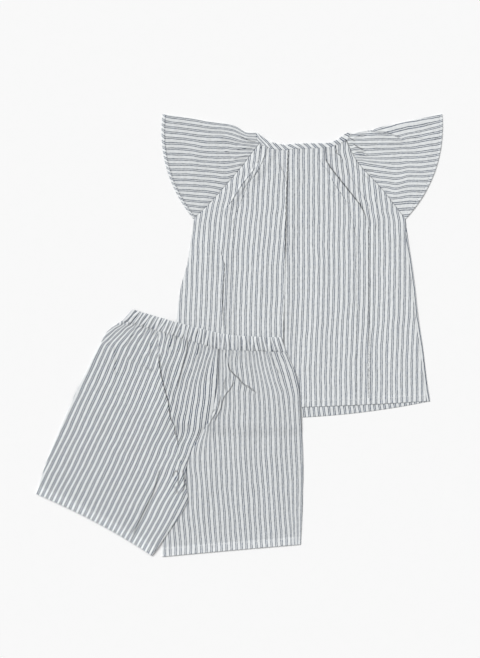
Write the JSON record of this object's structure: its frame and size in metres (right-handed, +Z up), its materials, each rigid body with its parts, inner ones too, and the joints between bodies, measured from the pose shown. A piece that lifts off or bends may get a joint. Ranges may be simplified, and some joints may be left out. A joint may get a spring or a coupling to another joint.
{
  "type": "pyjama set",
  "caption": "Child's summer pyjama set laid flat: an A-line top with raglan flutter sleeves and a bound neck, and gathered pull-on shorts lying over its hem.",
  "frame": {"origin": "on the surface that the set lies on, below the middle of the box around both garments", "axes": "+Z up out of the surface, +Y from the hems towards the neck, +X to the right seen from above"},
  "size_m": [0.6291, 0.6853, 0.0079],
  "materials": {
    "striped_cotton": "woven cotton poplin, white ground with fine paired slate-blue stripes",
    "bias_binding": "the same striped cotton cut on the bias and folded over the edge",
    "gathered_waistband": "the same striped cotton gathered over elastic"
  },
  "bodies": {
    "root": {"top_back": "striped_cotton", "top_front": "striped_cotton", "sleeve_left": "striped_cotton", "sleeve_right": "striped_cotton", "neck_binding": "bias_binding", "shorts_leg_left": "striped_cotton", "shorts_leg_right": "striped_cotton", "waistband": "gathered_waistband"}
  },
  "joints": []
}
